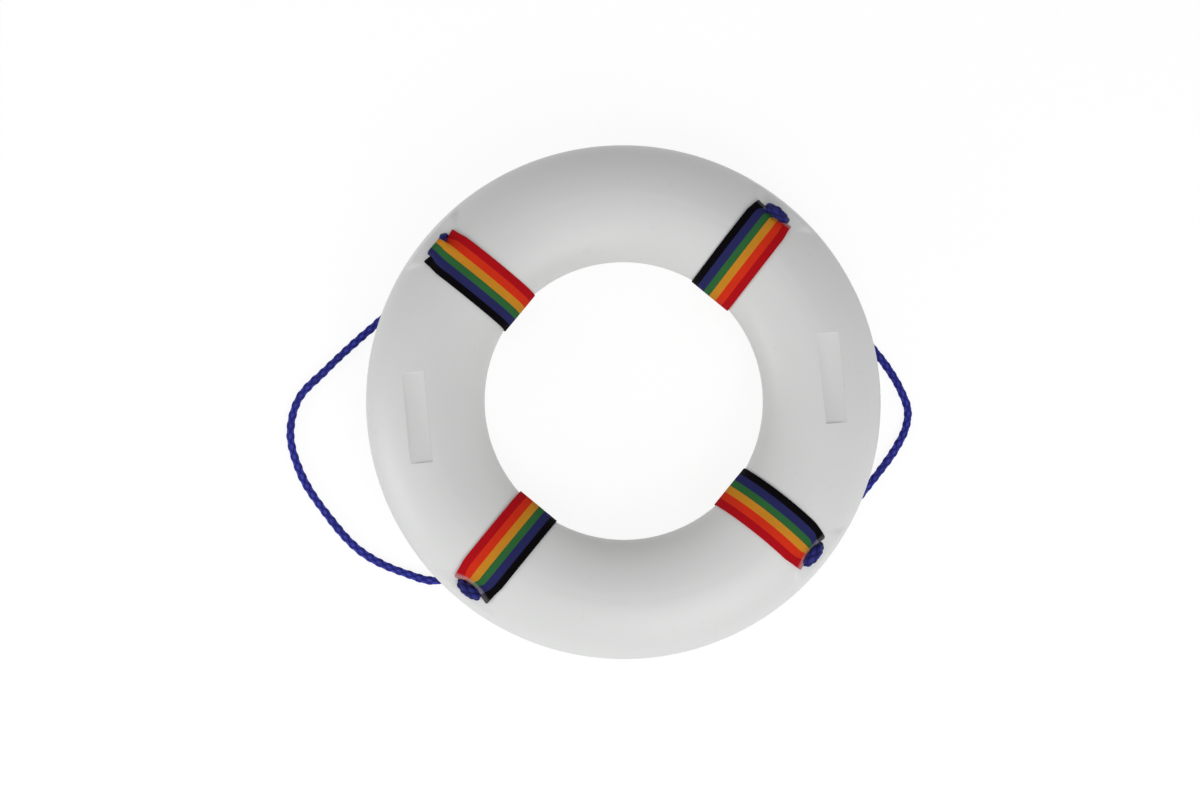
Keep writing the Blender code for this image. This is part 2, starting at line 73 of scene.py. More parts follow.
# Degrees round the ring and metres outside its rim
LEFT_ROUTE = [
    (152.9, -0.0030), (156.5, 0.0066), (160.4, 0.0205), (168.3, 0.0555), (174.1, 0.0861),
    (179.6, 0.0964), (186.3, 0.0921), (195.2, 0.0749), (204.3, 0.0560), (212.5, 0.0273),
    (218.3, 0.0035),
]
RIGHT_ROUTE = [
    (34.0, -0.0180), (23.5, -0.0115), (14.0, -0.0040), (7.3, 0.0050), (2.6, 0.0182),
    (-2.8, 0.0328), (-7.3, 0.0413), (-10.5, 0.0396), (-14.7, 0.0310), (-20.7, 0.0162),
    (-26.7, 0.0035), (-35.6, -0.0095),
]
RING_SPACING = 0.00065
RING_POINTS = 36
STRANDS_EACH_WAY = 4
BRAID_PERIOD = 0.0128
BRAID_DEPTH, BRAID_PROUD = 0.0014, 0.0006
# The rope is thicker and thinner by this share, in two waves along it
UNEVENNESS, SHORT_WAVE, LONG_WAVE = 0.045, 0.0131, 0.0487
# Rings over which the rope's tips are rounded, and over which its ends take on their own thickness
TIP_RINGS, FADE_RINGS = 5, 40


def station_frame(angle):
    """X outwards, Y counter-clockwise, from the ring's axis at the seam."""
    return Matrix.Translation((0, 0, SEAM)) @ Matrix.Rotation(math.radians(angle), 4, "Z")


def pad_level(radius):
    """Height above the seam of a pad's tilted top at a radius."""
    return PAD_TOP - (radius - LIP_RADIUS) * math.tan(PAD_TILT)


def soft_step(value):
    """0 below 0 and 1 above 1, with a smooth rise between."""
    value = min(1.0, max(0.0, value))
    return value * value * (3 - 2 * value)


def hermite(points, first_direction, last_direction, steps=24):
    """Dense points of a smooth curve through points, with given directions at its ends."""
    tangents = [first_direction.normalized()]
    for before, here, after in zip(points, points[1:], points[2:]):
        a, b = (here - before).length, (after - here).length
        tangents.append(((here - before) / a * b + (after - here) / b * a).normalized())
    tangents.append(last_direction.normalized())
    dense = []
    for p, q, m, n in zip(points, points[1:], tangents, tangents[1:]):
        span = (q - p).length
        for step in range(steps):
            t = step / steps
            dense.append(
                (2 * t**3 - 3 * t**2 + 1) * p
                + (t**3 - 2 * t**2 + t) * span * m
                + (3 * t**2 - 2 * t**3) * q
                + (t**3 - t**2) * span * n
            )
    return dense + [points[-1]]


def evenly_spaced(points, spacing):
    """Points read off a dense line at even steps, with both ends kept."""
    lengths = [0.0]
    for a, b in zip(points, points[1:]):
        lengths.append(lengths[-1] + (b - a).length)
    count = max(2, round(lengths[-1] / spacing))
    read, index = [], 0
    for step in range(count + 1):
        wanted = lengths[-1] * step / count
        while index < len(points) - 2 and lengths[index + 1] < wanted:
            index += 1
        part = (wanted - lengths[index]) / (lengths[index + 1] - lengths[index])
        read.append(points[index].lerp(points[index + 1], min(1.0, part)))
    return read


def down_the_slot(place):
    """The rope from high in its slot down to the slot's back mouth, and from there to the floor."""
    side, station = ROPE_SIDES[place], station_frame(STATIONS[place])
    bend_top = -SEAM + ROPE_DIAMETER / 2 + ROPE_BEND
    mouth = math.asin((bend_top + pad_level(ROPE_IN_SLOT)) / ROPE_BEND)
    start = -ROPE_BEND * (1 - math.cos(mouth)) / 2
    straight = [(start, bend_top + 0.004 * step) for step in range(4, 0, -1)]
    bend = []
    for degrees in range(0, 91, BEND_STEP):
        turn = math.radians(degrees)
        bend.append((start + ROPE_BEND * (1 - math.cos(turn)), bend_top - ROPE_BEND * math.sin(turn)))
    line = [station @ Vector((ROPE_IN_SLOT, side * along, height)) for along, height in straight + bend]
    split = len(straight) + BEND_AT_MOUTH // BEND_STEP
    return line[: split + 1], line[split:]


# Each rope's end lies over the front of its slot, swollen to an egg, with its tail tucked down the slot
# again. For each place: the egg's radius from the ring's axis at its tail, its middle and its rope's
# side, how far its middle is moved towards the rope's side, its reach either way, and its rise over the
# pad. The strap lies over the top left one.
EGGS = {
    "top_right": (0.2812, 0.2813, 0.2816, -0.0004, 0.0108, 0.0098),
    "top_left": (0.2838, 0.2806, 0.2806, 0.0001, 0.0124, 0.0060),
    "bottom_left": (0.2872, 0.2884, 0.2876, -0.0015, 0.0117, 0.0080),
    "bottom_right": (0.2852, 0.2857, 0.2853, -0.0019, 0.0116, 0.0080),
}
# An egg's swelling, the share of it that is left under the strap, how far it goes on past the egg's
# reach, and the depth below the pad in which it begins
EGG_SWELL, SWELL_UNDER_STRAP, SWELL_PAST_REACH, SWELL_BELOW_PAD = 0.56, 0.45, 0.0058, 0.010
LEG_RADIUS, LEG_SQUEEZE = 0.2833, 0.84


def egg_line(place, inside):
    """The rope from its tail, over the front of the slot, and down to the line inside the slot.

    A point has its radius, its place along the slot towards the tail, and its height over the seam.
    """
    tail_radius, middle_radius, rope_radius, onwards, reach, rise = EGGS[place]
    top = pad_level(middle_radius) + rise
    points = [
        (LEG_RADIUS, 0.92 * reach, 0.012),
        ((LEG_RADIUS + tail_radius) / 2, reach, top - 0.0115),
        (tail_radius, 0.86 * reach, top - 0.0046),
        ((tail_radius + middle_radius) / 2, 0.48 * reach, top - 0.0010),
        (middle_radius, 0.0, top),
        ((rope_radius + middle_radius) / 2, -0.48 * reach, top - 0.0010),
        (rope_radius, -0.86 * reach, top - 0.0046),
        ((LEG_RADIUS + rope_radius) / 2, -reach, top - 0.0115),
    ]
    station, side = station_frame(STATIONS[place]), ROPE_SIDES[place]
    placed = [station @ Vector((x, side * (onwards - y), z)) for x, y, z in points]
    return hermite(placed + [inside[0]], Vector((0, 0, 1)), Vector((0, 0, -1)))


def egg_swell(place, point):
    """How thick the rope is at a point of its end, as a share of its thickness elsewhere."""
    local = station_frame(STATIONS[place]).inverted() @ point
    onwards, reach = EGGS[place][3:5]
    across = (ROPE_SIDES[place] * local.y - onwards) / (reach + SWELL_PAST_REACH)
    outside = soft_step((local.z - pad_level(local.x) + SWELL_BELOW_PAD) / SWELL_BELOW_PAD)
    swell = EGG_SWELL * max(0.0, 1 - across**2) * outside
    return LEG_SQUEEZE + swell * (SWELL_UNDER_STRAP if place == "top_left" else 1.0)


def whole_rope(first, last, route):
    """Centreline of a rope from tail to tail, and the two places where it leaves the slots' back mouths."""
    halves = []
    for place in (first, last):
        inside, outside = down_the_slot(place)
        halves.append((egg_line(place, inside)[:-1] + inside, outside))
    (first_end, lead_in), (last_end, lead_out) = halves
    floor = [lead_in[-1]]
    for angle, outside in route:
        radius, turn = OUTER_RADIUS + outside, math.radians(angle)
        floor.append(Vector((radius * math.cos(turn), radius * math.sin(turn), ROPE_DIAMETER / 2)))
    floor.append(lead_out[-1])
    on_floor = hermite(floor, lead_in[-1] - lead_in[-2], lead_out[-2] - lead_out[-1])
    free = lead_in + on_floor[1:-1] + lead_out[::-1]
    first_end = evenly_spaced(first_end, RING_SPACING)
    free = evenly_spaced(free, RING_SPACING)
    last_end = evenly_spaced(last_end[::-1], RING_SPACING)
    line = first_end + free[1:] + last_end[1:]
    return line, len(first_end) - 1, len(first_end) + len(free) - 2


def rope_thickness(first, last, line, leaves, returns):
    """The rope's thickness at each ring, as a share of its diameter, with rounded tips."""
    thickness, last_ring = [], len(line) - 1
    for index, point in enumerate(line):
        tip = math.sqrt(min(1.0, (min(index, last_ring - index) + 1) / TIP_RINGS))
        along = index * RING_SPACING
        share = 1 + UNEVENNESS * math.sin(along / SHORT_WAVE) * math.sin(along / LONG_WAVE + 1.0)
        if index < leaves:
            share += (egg_swell(first, point) - share) * soft_step((leaves - index) / FADE_RINGS)
        elif index > returns:
            share += (egg_swell(last, point) - share) * soft_step((index - returns) / FADE_RINGS)
        thickness.append(tip * share)
    return thickness


def braid_relief(around, along):
    """Height from 0 to 1 of the braid's surface: strands that cross, over one and under one."""
    right_hand = STRANDS_EACH_WAY * around - along / BRAID_PERIOD
    left_hand = STRANDS_EACH_WAY * around + along / BRAID_PERIOD
    across_one = math.cos(math.pi * (right_hand % 1 - 0.5))
    across_other = math.cos(math.pi * (left_hand % 1 - 0.5))
    if (math.floor(right_hand) + math.floor(left_hand)) % 2:
        across_one, across_other = across_other, across_one
    return across_one**0.7 * across_other**0.45


def braided_tube(name, line, first, last, thickness):
    """The stretch of a rope from ring first to ring last, with the braid's relief in its surface."""
    normal = Vector((0, 0, 1)) if abs((line[1] - line[0]).normalized().z) < 0.9 else Vector((1, 0, 0))
    vertices, count, along = [], len(line), 0.0
    for index in range(count):
        direction = (line[min(index + 1, count - 1)] - line[max(index - 1, 0)]).normalized()
        normal = (normal - direction * normal.dot(direction)).normalized()
        if index:
            along += (line[index] - line[index - 1]).length
        if not first <= index <= last:
            continue
        across = direction.cross(normal)
        for point in range(RING_POINTS):
            around = point / RING_POINTS
            radius = ROPE_DIAMETER / 2 + BRAID_PROUD - BRAID_DEPTH * (1 - braid_relief(around, along))
            turn = 2 * math.pi * around
            spoke = normal * math.cos(turn) + across * math.sin(turn)
            vertex = line[index] + spoke * radius * thickness[index]
            vertex.z = max(vertex.z, 0.0)
            vertices.append(vertex)
    rings = last - first + 1
    faces = []
    for ring in range(rings - 1):
        for point in range(RING_POINTS):
            a, b = ring * RING_POINTS + point, ring * RING_POINTS + (point + 1) % RING_POINTS
            faces.append((a, b, b + RING_POINTS, a + RING_POINTS))
    for ring, order in ((0, -1), (rings - 1, 1)):
        middle = len(vertices)
        vertices.append(line[first + ring])
        for point in range(RING_POINTS):
            a, b = ring * RING_POINTS + point, ring * RING_POINTS + (point + 1) % RING_POINTS
            faces.append((middle, a, b)[::order])
    mesh = bpy.data.meshes.new(name)
    mesh.from_pydata(vertices, [], faces)
    lengths = [0.0]
    for a, b in zip(line, line[1:]):
        lengths.append(lengths[-1] + (b - a).length)
    layer = mesh.uv_layers.new(name="rope")
    for face in mesh.polygons:
        points = [mesh.loops[i].vertex_index for i in face.loop_indices]
        last_column = any(p % RING_POINTS == RING_POINTS - 1 for p in points if p < rings * RING_POINTS)
        for loop, p in zip(face.loop_indices, points):
            if p >= rings * RING_POINTS:
                ring, column = (0, 0) if p == rings * RING_POINTS else (rings - 1, 0)
            else:
                ring, column = divmod(p, RING_POINTS)
                if column == 0 and last_column:
                    column = RING_POINTS
            layer.data[loop].uv = (column / RING_POINTS, lengths[first + ring] / BRAID_PERIOD)
    piece = bpy.data.objects.new(name, mesh)
    bpy.context.scene.collection.objects.link(piece)
    for face in mesh.polygons:
        face.use_smooth = True
    return piece


class Signal:
    """A socket of a material, on which Python's operators add the Math nodes that they mean."""

    def __init__(self, finish, socket):
        self.finish, self.socket = finish, socket

    def math(self, operation, *values):
        return self.finish.node("ShaderNodeMath", {"operation": operation}, dict(enumerate(values)))

    def __add__(self, other):
        return self.math("ADD", self, other)

    __radd__ = __add__

    def __sub__(self, other):
        return self.math("SUBTRACT", self, other)

    def __rsub__(self, other):
        return self.math("SUBTRACT", other, self)

    def __mul__(self, other):
        return self.math("MULTIPLY", self, other)

    def __truediv__(self, other):
        return self.math("DIVIDE", self, other)

    def __pow__(self, other):
        return self.math("POWER", self, other)

    def __mod__(self, other):
        return self.math("FLOORED_MODULO", self, other)

    def __gt__(self, other):
        return self.math("GREATER_THAN", self, other)

    def floor(self):
        return self.math("FLOOR", self)

    def sine(self):
        return self.math("SINE", self)

    def size(self):
        return self.math("ABSOLUTE", self)


class Finish:
    """A material written with expressions. Its constants are set on the shader's own sockets."""

    def __init__(self, name, **constants):
        self.material = bpy.data.materials.new(name)
        self.material.use_nodes = True
        self.tree = self.material.node_tree
        self.shader = self.tree.nodes["Principled BSDF"]
        for socket, value in constants.items():
            self.shader.inputs[socket.replace("_", " ")].default_value = value

    def node(self, kind, settings=None, sockets=None, output=0):
        made = self.tree.nodes.new(kind)
        for key, value in (settings or {}).items():
            setattr(made, key, value)
        for key, value in (sockets or {}).items():
            if isinstance(value, Signal):
                self.tree.links.new(value.socket, made.inputs[key])
            else:
                made.inputs[key].default_value = value
        return Signal(self, made.outputs[output])

    def feed(self, socket, signal):
        self.tree.links.new(signal.socket, self.shader.inputs[socket])

    def place(self):
        return self.node("ShaderNodeTexCoord", output="Object")

    def parts(self, vector):
        return [self.node("ShaderNodeSeparateXYZ", sockets={0: vector}, output=i) for i in range(3)]

    def blend(self, factor, one, other):
        one, other = (c if isinstance(c, Signal) else (*c, 1) for c in (one, other))
        return self.node("ShaderNodeMix", {"data_type": "RGBA"}, {0: factor, 6: one, 7: other}, 2)

    def noise(self, vector, scale, detail=2.0, roughness=0.5):
        sockets = {"Vector": vector, "Scale": scale, "Detail": detail, "Roughness": roughness}
        return self.node("ShaderNodeTexNoise", sockets=sockets)

    def bump(self, height, distance, strength=1.0):
        sockets = {"Height": height, "Distance": distance, "Strength": strength}
        self.feed("Normal", self.node("ShaderNodeBump", sockets=sockets))


# The rope's colours: painted shade between its strands, its own blue on them, a painted highlight on their
# brightest filaments, and its dull patches
ROPE_PAINTED_VALLEY_SHADE, ROPE_BLUE = (0.008, 0.008, 0.105), (0.026, 0.029, 0.380)
ROPE_PAINTED_HIGHLIGHT, ROPE_PATCH = (0.085, 0.110, 0.620), (0.014, 0.015, 0.19)


def rope_look(name, lightness):
    """Blue polypropylene braid: bright backs of the strands with painted highlights along fine filaments, and
    painted shade in the valleys.
    """
    made = Finish(name, Roughness=0.62, Specular_IOR_Level=0.22)
    uv = made.node("ShaderNodeUVMap", {"uv_map": "rope"})
    around, along, _ = made.parts(uv)
    right_hand = around * STRANDS_EACH_WAY - along
    left_hand = around * STRANDS_EACH_WAY + along
    odd = (right_hand.floor() + left_hand.floor()) % 2
    yarn = right_hand + (left_hand - right_hand) * odd
    other_yarn = left_hand + (right_hand - left_hand) * odd
    across = ((yarn % 1 - 0.5).size() * 2) ** 2
    dip = ((other_yarn % 1 - 0.5).size() * 2) ** 3
    back = (1 - across) * (1 - dip)
    grain = made.noise(made.place(), 260.0, 3.0, 0.6)
    filaments = (yarn * 31.0 + grain * 2.2).sine() * 0.5 + 0.5
    valley_shade, blue, painted_highlight, dull = (
        tuple(lightness * c for c in colour) for colour in (ROPE_PAINTED_VALLEY_SHADE, ROPE_BLUE, ROPE_PAINTED_HIGHLIGHT, ROPE_PATCH)
    )
    # Painted shade: the colour darkens from the strands' backs towards the valleys between them.
    shade = made.blend(back**0.7, valley_shade, blue)
    # Painted highlight: the brightest filaments on the strands' backs are lightened towards a pale blue.
    shade = made.blend(back**2.0 * (0.15 + filaments * 0.45), shade, painted_highlight)
    patch = made.noise(made.place(), 38.0, 2.0)
    made.feed("Base Color", made.blend((patch - 0.42) * 2.2, shade, dull))
    made.bump(filaments * 0.4 + back * 0.8, 0.00045, 0.8)
    return made.material


# The rope's ends at the slots take the same braid at half its lightness: painted shade, a darker copy of the
# rope's material.
rope_material = rope_look("braided_blue_rope", 1.0)
shaded_end_material = rope_look("painted_shade_blue_rope", 0.50)

for name, first, last, route in (
    ("left", "top_left", "bottom_left", LEFT_ROUTE),
    ("right", "top_right", "bottom_right", RIGHT_ROUTE),
):
    line, leaves, returns = whole_rope(first, last, route)
    thickness = rope_thickness(first, last, line, leaves, returns)
    first_end = braided_tube("rope_end_" + first, line, 0, leaves, thickness)
    last_end = braided_tube("rope_end_" + last, line, returns, len(line) - 1, thickness)
    free = braided_tube(f"{name}_rope", line, leaves, returns, thickness)
    for piece, material in ((first_end, shaded_end_material), (last_end, shaded_end_material), (free, rope_material)):
        piece.data.materials.append(material)
        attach(piece, "root")
    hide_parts("knot_" + first)
    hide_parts("knot_" + last)
    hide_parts(f"{name}_grab_rope")
    centreline = line[leaves : returns + 1]
    length = sum((b - a).length for a, b in zip(centreline, centreline[1:]))

# Shells. Two halves of 3 mm white polyethylene, rotationally moulded and welded at the widest line.
# Four flat pads stand out of each shoulder round the slots, whose rims are rounded, and the front
# shell has two shallow label recesses.
CREST_RADIUS = 0.235
CREST_LAND = 0.008
SECTION_HALF_WIDTH = 0.066
HALF_HEIGHT = 0.050
FLANK_POWER = 1.6
SHELL_WALL = 0.003
SEAM_GAP = 0.00004
PROFILE_POINTS = 136
PAD_INNER_HALF, PAD_FLARE = 0.025, 0.83
PAD_RIM = 0.2985
PAD_CORNER = 0.0070
SECTOR_DEGREES = 26
SECTOR_STEPS = 44
PLAIN_STEPS = 40
PAD_FOOT = Vector((OUTER_RADIUS - 0.0004, 0.0045))
# How wide the rounding along a pad's side is, at the lip and at the rim
PAD_EDGE_SOFTNESS = (0.0012, 0.0075)
# The share of a sector's lines that lie on half a pad, and how they crowd at its edge
LINES_ON_PAD, CROWDING = 0.5, 1.8
SLOT_WIDTH, SLOT_LENGTH, SLOT_CORNER, SLOT_RIM = 0.0141, 0.032, 0.003, 0.0016
SLOT_CORNER_STEPS = 6
SLEEVE_WALL, SLEEVE_SUNK = 0.0022, 0.0014
# How much narrower the slots are at their front mouths, drawn in from the rim's side
FRONT_PINCH = 0.004


def section_point(turn):
    """Radius and height above the seam on the section, at an angle round it from the rim."""
    reach = CREST_LAND / 2 + SECTION_HALF_WIDTH * abs(math.cos(turn)) ** (2 / FLANK_POWER)
    return CREST_RADIUS + math.copysign(reach, math.cos(turn)), HALF_HEIGHT * math.sin(turn)


def select_where(test):
    """In edit mode, select just the faces, edges and points whose vertices pass a test."""
    mesh = bmesh.from_edit_mesh(bpy.context.object.data)
    for part in (*mesh.verts, *mesh.edges, *mesh.faces):
        part.select = False
    for vertex in mesh.verts:
        vertex.select = test(vertex.co)
    mesh.select_flush_mode()
    bmesh.update_edit_mesh(bpy.context.object.data)


def start_piece(name):
    """Names the primitive just added."""
    bpy.context.object.name = name
    bpy.context.object.data.name = name
    return bpy.context.object


def turned_shell(name):
    """The shell's outside: a section spun round the axis, finer where the pads will be."""
    bpy.ops.object.select_all(action="DESELECT")
    bpy.ops.mesh.primitive_circle_add(vertices=PROFILE_POINTS, radius=1.0, rotation=(math.pi / 2, 0, 0))
    piece = start_piece(name)
    bpy.ops.object.transform_apply(location=True, rotation=True, scale=True)
    bpy.ops.object.mode_set(mode="EDIT")
    select_where(lambda place: place.z < -1e-6)
    bpy.ops.mesh.delete(type="VERT")
    bpy.ops.object.mode_set(mode="OBJECT")
    for vertex in piece.data.vertices:
        radius, height = section_point(math.atan2(max(vertex.co.z, 0.0), vertex.co.x))
        vertex.co = (radius, 0.0, height)
    sector = math.radians(SECTOR_DEGREES)
    piece.data.transform(Matrix.Rotation(math.radians(45) - sector / 2, 4, "Z"))
    bpy.ops.object.mode_set(mode="EDIT")
    bpy.ops.mesh.select_all(action="SELECT")
    for _ in STATIONS:
        for steps, angle in ((SECTOR_STEPS, sector), (PLAIN_STEPS, math.radians(90) - sector)):
            bpy.ops.mesh.spin(steps=steps, angle=-angle, center=(0, 0, 0), axis=(0, 0, 1))
    bpy.ops.mesh.select_all(action="SELECT")
    bpy.ops.mesh.remove_doubles(threshold=0.00002)
    bpy.ops.mesh.normals_make_consistent(inside=False)
    bpy.ops.object.mode_set(mode="OBJECT")
    return piece


def pad_point(turn):
    """The pad's own section in place of section_point, from the rim at the seam over its corner."""
    radius, height = section_point(turn)
    foot, lip = PAD_FOOT, Vector((LIP_RADIUS, PAD_TOP))
    corner = Vector((PAD_RIM, pad_level(PAD_RIM)))
    if height <= foot.y or radius <= LIP_RADIUS:
        return radius, height
    lip_turn, foot_turn = math.asin(lip.y / HALF_HEIGHT), math.asin(foot.y / HALF_HEIGHT)
    rising, falling = (corner - foot).normalized(), (lip - corner).normalized()
    bend = rising.angle(falling)
    cut = PAD_CORNER * math.tan(bend / 2)
    wall, flat, arc = (corner - foot).length - cut, (lip - corner).length - cut, PAD_CORNER * bend
    way = (turn - foot_turn) / (lip_turn - foot_turn) * (wall + arc + flat)
    if way < wall:
        point = foot + rising * way
    elif way < wall + arc:
        part = (way - wall) / PAD_CORNER
        inward = Vector((-rising.y, rising.x))
        start = corner - rising * cut
        point = start + rising * PAD_CORNER * math.sin(part) + inward * PAD_CORNER * (1 - math.cos(part))
    else:
        point = corner + falling * (cut + way - wall - arc)
    return point.x, point.y


def pull_out_pads(piece):
    """The grid's lines are led along each pad's side edges, and the pad is pulled out between them."""
    half_sector = math.radians(SECTOR_DEGREES / 2)
    for vertex in piece.data.vertices:
        x, y, height = vertex.co
        radius, angle = math.hypot(x, y), math.atan2(y, x)
        station = math.radians(45 + 90 * round((math.degrees(angle) - 45) / 90))
        share = (angle - station) / half_sector
        if abs(share) > 1.0001:
            continue
        side = radius - CREST_RADIUS
        turn = math.asin(min(1.0, height / HALF_HEIGHT))
        turn = math.pi - turn if side < 0 else turn
        flat_radius, flat_height = pad_point(turn) if side > 0 else (radius, height)
        middle_radius = (radius + flat_radius) / 2
        edge = PAD_INNER_HALF + PAD_FLARE * max(0.0, middle_radius - LIP_RADIUS)
        edge_angle = math.atan2(edge, middle_radius)
        if abs(share) < LINES_ON_PAD:
            led = edge_angle * (1 - (1 - abs(share) / LINES_ON_PAD) ** CROWDING)
        else:
            led = (abs(share) - LINES_ON_PAD) / (1 - LINES_ON_PAD)
            led = edge_angle + (half_sector - edge_angle) * led**CROWDING
        outside = (led - edge_angle) * middle_radius
        to_rim = min(1.0, max(0.0, (middle_radius - LIP_RADIUS) / (PAD_RIM - LIP_RADIUS)))
        softness = PAD_EDGE_SOFTNESS[0] + (PAD_EDGE_SOFTNESS[1] - PAD_EDGE_SOFTNESS[0]) * to_rim
        inward = 1 - soft_step(0.5 + outside / softness / 2)
        angle = station + math.copysign(led, share)
        radius += (flat_radius - radius) * inward
        height += (flat_height - height) * inward
        vertex.co = (radius * math.cos(angle), radius * math.sin(angle), height)


def slot_outline(grow, height, pinch=0.0):
    """Points round a slot, grown by a margin, in its station's frame.

    height gives each point's height above the seam from its radius, and pinch is how much narrower
    the slot is there.
    """
    width, length, corner = (SLOT_WIDTH - pinch) / 2 + grow, SLOT_LENGTH / 2 + grow, SLOT_CORNER + grow
    outline = []
    for quadrant, (sx, sy) in enumerate(((1, 1), (-1, 1), (-1, -1), (1, -1))):
        for step in range(SLOT_CORNER_STEPS + 1):
            turn = math.radians(90) * (quadrant + step / SLOT_CORNER_STEPS)
            x = SLOT_RADIUS - pinch / 2 + sx * (width - corner) + corner * math.cos(turn)
            y = sy * (length - corner) + corner * math.sin(turn)
            outline.append(Vector((x, y, height(x))))
    return outline


def lofted(name, stacks):
    """A closed mesh through stacks of equal outlines, one stack a separate solid, with flat ends."""
    vertices, faces = [], []
    for outlines in stacks:
        start, count = len(vertices), len(outlines[0])
        for outline in outlines:
            vertices += outline
        for level in range(len(outlines) - 1):
            for i in range(count):
                a, b = start + level * count + i, start + level * count + (i + 1) % count
                faces.append((a, b, b + count, a + count))
        faces.append(tuple(start + i for i in reversed(range(count))))
        faces.append(tuple(start + (len(outlines) - 1) * count + i for i in range(count)))
    mesh = bpy.data.meshes.new(name)
    mesh.from_pydata(vertices, [], faces)
    tool = bpy.data.objects.new(name, mesh)
    bpy.context.scene.collection.objects.link(tool)
    return tool


def apply_tool(piece, tool, operation):
    """Boolean with a tool that is used up."""
    modifier = piece.modifiers.new(tool.name, "BOOLEAN")
    modifier.object, modifier.operation, modifier.solver = tool, operation, "EXACT"
    bpy.context.view_layer.objects.active = piece
    bpy.ops.object.modifier_apply(modifier=modifier.name)
    bpy.data.objects.remove(tool)


def at_stations(levels):
    """Stacks of slot outlines at the four stations, through levels of growth, height and pinch."""
    stacks = []
    for angle in STATIONS.values():
        turn = Matrix.Rotation(math.radians(angle), 4, "Z")
        stacks.append([[turn @ point for point in slot_outline(*level)] for level in levels])
    return stacks


def sleeves(pinch):
    """Walls of the slots, from the seam up into the pads."""
    return at_stations([
        (SLEEVE_WALL, lambda x: SEAM_GAP),
        (SLEEVE_WALL, lambda x: pad_level(x) - SLEEVE_SUNK, pinch),
    ])


def slot_cutters(pinch):
    """Slots that narrow by the pinch from the seam to their bell-mouthed rims."""
    levels = [(0.0, lambda x: -0.01), (0.0, lambda x: SEAM_GAP)]
    for step in range(6):
        bend = math.radians(90) * step / 5
        sunk = SLOT_RIM * (1 - math.sin(bend))
        levels.append((SLOT_RIM * (1 - math.cos(bend)), lambda x, sunk=sunk: pad_level(x) - sunk, pinch))
    levels.append((SLOT_RIM, lambda x: pad_level(x) + 0.01, pinch))
    return at_stations(levels)


RECESS_LENGTH, RECESS_WIDTH = 0.106, 0.027
RECESS_MIDDLE, RECESS_HEIGHT, RECESS_TILT = 0.2425, 0.0485, math.radians(6.03)
RECESS_DEPTH = 0.0015


def recess_stack(side, grow, top, bottom, corner, bevel):
    """A tilted block with rounded corners and a small cove at its floor, for one label recess."""
    place = (
        Matrix.Rotation(math.radians(180 if side < 0 else 0), 4, "Z")
        @ Matrix.Translation((RECESS_MIDDLE, 0, RECESS_HEIGHT))
        @ Matrix.Rotation(RECESS_TILT, 4, "Y")
    )
    outlines = []
    for inset, z in ((bevel, bottom), (bevel * 0.3, bottom + bevel * 0.3), (0.0, bottom + bevel), (0.0, top)):
        outline = []
        width, length = RECESS_WIDTH / 2 + grow - inset, RECESS_LENGTH / 2 + grow - inset
        round_off = max(0.0002, corner + grow - inset)
        for quadrant, (sx, sy) in enumerate(((1, 1), (-1, 1), (-1, -1), (1, -1))):
            for step in range(5):
                turn = math.radians(90) * (quadrant + step / 4)
                outline.append(place @ Vector((
                    sx * (width - round_off) + round_off * math.cos(turn),
                    sy * (length - round_off) + round_off * math.sin(turn),
                    z,
                )))
        outlines.append(outline)
    return outlines


def recess_stacks():
    """The thicker wall behind each label recess, and the recesses' cutters."""
    backs, cutters = [], []
    for side in (1, -1):
        backs.append(recess_stack(side, grow=0.003, top=-0.0022, bottom=-0.0060, corner=0.002, bevel=0.001))
        cutters.append(recess_stack(
            side, grow=0.0, top=0.02, bottom=-RECESS_DEPTH, corner=0.0018, bevel=0.0007))
    return backs, cutters


# Radius and height over the seam: the wall behind a plug's pocket, and the pocket with its floor's hole
POCKET_BACK = ((0.0152, 0.0425), (0.0152, 0.0475))
POCKET_STEPS = ((0.0073, 0.036), (0.0073, 0.0475), (0.0122, 0.0475), (0.0122, 0.06))
POCKET_POINTS = 48


def pocket_stack(side, steps):
    """Circles at the place of one plug, through steps of radius and height."""
    turns = [2 * math.pi * point / POCKET_POINTS for point in range(POCKET_POINTS)]
    place = Vector((0, side * CREST_RADIUS, 0))
    return [[place + Vector((r * math.cos(t), r * math.sin(t), z)) for t in turns] for r, z in steps]


def pocket_stacks():
    """The thicker wall behind each plug's pocket, and the pockets' cutters."""
    backs = [pocket_stack(side, POCKET_BACK) for side in (1, -1)]
    cutters = [pocket_stack(side, POCKET_STEPS) for side in (1, -1)]
    return backs, cutters


def moulded_shell(name, recessed):
    """One half of the ring, front up, to be turned over for the back."""
    piece = turned_shell(name)
    pull_out_pads(piece)
    for vertex in piece.data.vertices:
        vertex.co.z += SEAM_GAP
    wall = piece.modifiers.new("wall", "SOLIDIFY")
    wall.thickness, wall.offset, wall.use_even_offset = SHELL_WALL, -1.0, False
    bpy.context.view_layer.objects.active = piece
    bpy.ops.object.modifier_apply(modifier="wall")
    for vertex in piece.data.vertices:
        vertex.co.z = max(vertex.co.z, SEAM_GAP)
    pinch = FRONT_PINCH if recessed else 0.0
    backs, cutters = recess_stacks() if recessed else pocket_stacks()
    apply_tool(piece, lofted(name + "_backs", sleeves(pinch) + backs), "UNION")
    apply_tool(piece, lofted(name + "_cuts", slot_cutters(pinch) + cutters), "DIFFERENCE")
    return piece


def finish_piece(piece, material, slot, *nodes, angle=35):
    """Smooth shading, its material, and its place among the nodes."""
    bpy.ops.object.select_all(action="DESELECT")
    piece.select_set(True)
    bpy.context.view_layer.objects.active = piece
    bpy.ops.object.shade_smooth_by_angle(angle=math.radians(angle))
    piece.data.materials.clear()
    piece.data.materials.append(material)
    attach(piece, "root")
    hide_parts(*nodes)


